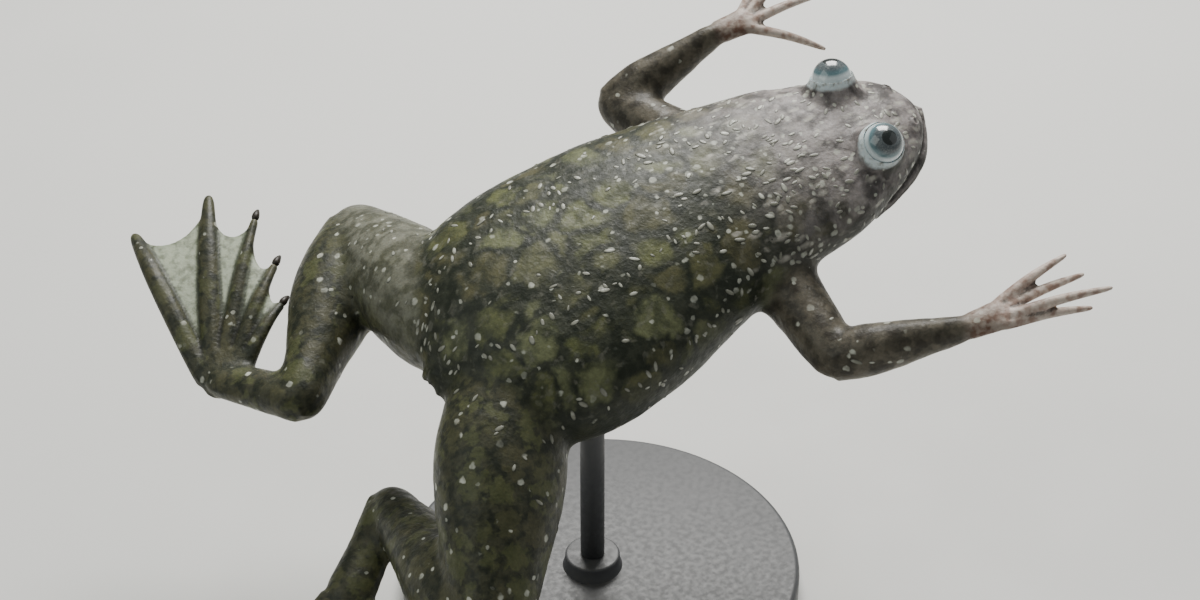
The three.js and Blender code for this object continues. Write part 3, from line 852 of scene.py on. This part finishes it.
def lathe(profile, centre, segments=96):
    """A closed form turned about an upright axis. The profile starts and ends on the axis."""
    work = bmesh.new()
    points = [work.verts.new((r + centre[0], centre[1], z)) for r, z in profile]
    edges = [work.edges.new(pair) for pair in zip(points, points[1:])]
    bmesh.ops.spin(
        work,
        geom=points + edges,
        cent=(centre[0], centre[1], 0),
        axis=(0, 0, 1),
        angle=2 * np.pi,
        steps=segments,
        use_merge=True,
    )
    bmesh.ops.remove_doubles(work, verts=work.verts, dist=1e-6)
    bmesh.ops.recalc_face_normals(work, faces=work.faces)
    mesh = bpy.data.meshes.new("lathe")
    work.to_mesh(mesh)
    work.free()
    return mesh


def corner(r, z, size, start, steps=6):
    """Points of a round corner about (r, z): a quarter turn from a start angle in degrees."""
    angles = np.radians(np.linspace(start, start + 90, steps))
    return [(r + size * np.cos(a), z + size * np.sin(a)) for a in angles]


def build_stand(material):
    low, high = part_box("stand_base")
    rod_low, rod_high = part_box("stand_rod")
    centre = ((rod_low.x + rod_high.x) / 2, (rod_low.y + rod_high.y) / 2)
    radius = (high.x - low.x) / 2
    plate, collar = 6 * MM, 5.5 * MM
    under, edge, fillet = 0.4 * MM, 1.1 * MM, 0.5 * MM  # how far edges are rounded
    profile = [(0, 0), *corner(radius - under, under, under, -90, 3)]
    profile += [*corner(radius - edge, plate - edge, edge, 0), (0, plate)]
    add_piece("stand_plate", lathe(profile, (0, 0)), material, ["stand_base"])
    ring = [(0, plate - fillet), (collar + fillet, plate - fillet)]
    ring += [(collar + fillet, plate), (collar, plate + fillet)]
    ring += [*corner(collar - fillet, high.z - fillet, fillet, 0), (0, high.z)]
    add_piece("stand_collar", lathe(ring, centre), material)
    thick = (rod_high.x - rod_low.x) / 2
    top = rod_high.z + 0.6 * MM  # in the belly
    shaft = [(0, rod_low.z), (thick, rod_low.z), (thick, top), (0, top)]
    add_piece("stand_post", lathe(shaft, centre, 40), material, ["stand_rod"])


# Stage


def build_floor():
    bpy.ops.mesh.primitive_plane_add(size=8)
    floor = bpy.context.object
    floor.name = "floor"
    floor.data.materials.append(floor_material())


def area_light(name, place, target, size, power, colour):
    data = bpy.data.lights.new(name, "AREA")
    data.size = size
    data.energy = power
    data.color = colour
    lamp = bpy.data.objects.new(name, data)
    lamp.location = place
    lamp.rotation_euler = (Vector(target) - Vector(place)).to_track_quat("-Z", "Y").to_euler()
    bpy.context.scene.collection.objects.link(lamp)


def build_lights():
    middle = (0, 0, 0.08)
    area_light("key", (0.27, 0.34, 0.6), (0.04, 0, 0.09), 0.4, 9, (1.0, 0.985, 0.95))
    area_light("fill", (0.6, -0.5, 0.5), middle, 0.8, 0.7, (0.95, 0.98, 1.0))
    area_light("back", (-0.6, 0.1, 0.5), middle, 0.6, 1.6, (0.95, 1.0, 0.95))
    world = bpy.data.worlds.new("studio")
    world.use_nodes = True
    world.node_tree.nodes["Background"].inputs["Color"].default_value = (0.9, 0.93, 0.92, 1)
    world.node_tree.nodes["Background"].inputs["Strength"].default_value = 0.22
    bpy.context.scene.world = world


def build_camera():
    azimuth, elevation = np.radians(-32.3), np.radians(35)
    away, width = 0.430, np.radians(29)
    level = np.cos(elevation)
    back = Vector((np.sin(azimuth) * level, -np.cos(azimuth) * level, np.sin(elevation)))
    right = Vector((0, 0, 1)).cross(back).normalized()
    up = back.cross(right)
    target = Vector((0.009, 0, 0.0789)) + right * -0.0078 + up * -0.0100
    data = bpy.data.cameras.new("camera")
    data.sensor_fit = "HORIZONTAL"
    data.angle = width
    camera = bpy.data.objects.new("camera", data)
    turn = Matrix((right, up, back)).transposed().to_4x4()
    camera.matrix_world = Matrix.Translation(target + back * away) @ turn
    bpy.context.scene.collection.objects.link(camera)
    bpy.context.scene.camera = camera


def build_claws():
    work = bmesh.new()
    for node in CLAWS:
        mesh = rounded(node, CLAW_SHARP)
        work.from_mesh(mesh)
        bpy.data.meshes.remove(mesh)
    mesh = bpy.data.meshes.new("claws")
    work.to_mesh(mesh)
    work.free()
    return mesh


build_camera()
build_floor()
build_lights()
skin_mesh = build_skin()
add_piece("skin", skin_mesh, skin_material(), FLESH)
skin_tree = tree_of(skin_mesh)
add_piece("lateral_line_stitches", build_stitches(skin_tree), stitch_material())
eye_look = eye_material()
for name, eye in EYES.items():
    add_piece(f"eyeball_{name}", build_eye(eye), eye_look, [f"eye_{name}"])
add_piece("claws", build_claws(), claw_material(), CLAWS)
build_stand(stand_material())
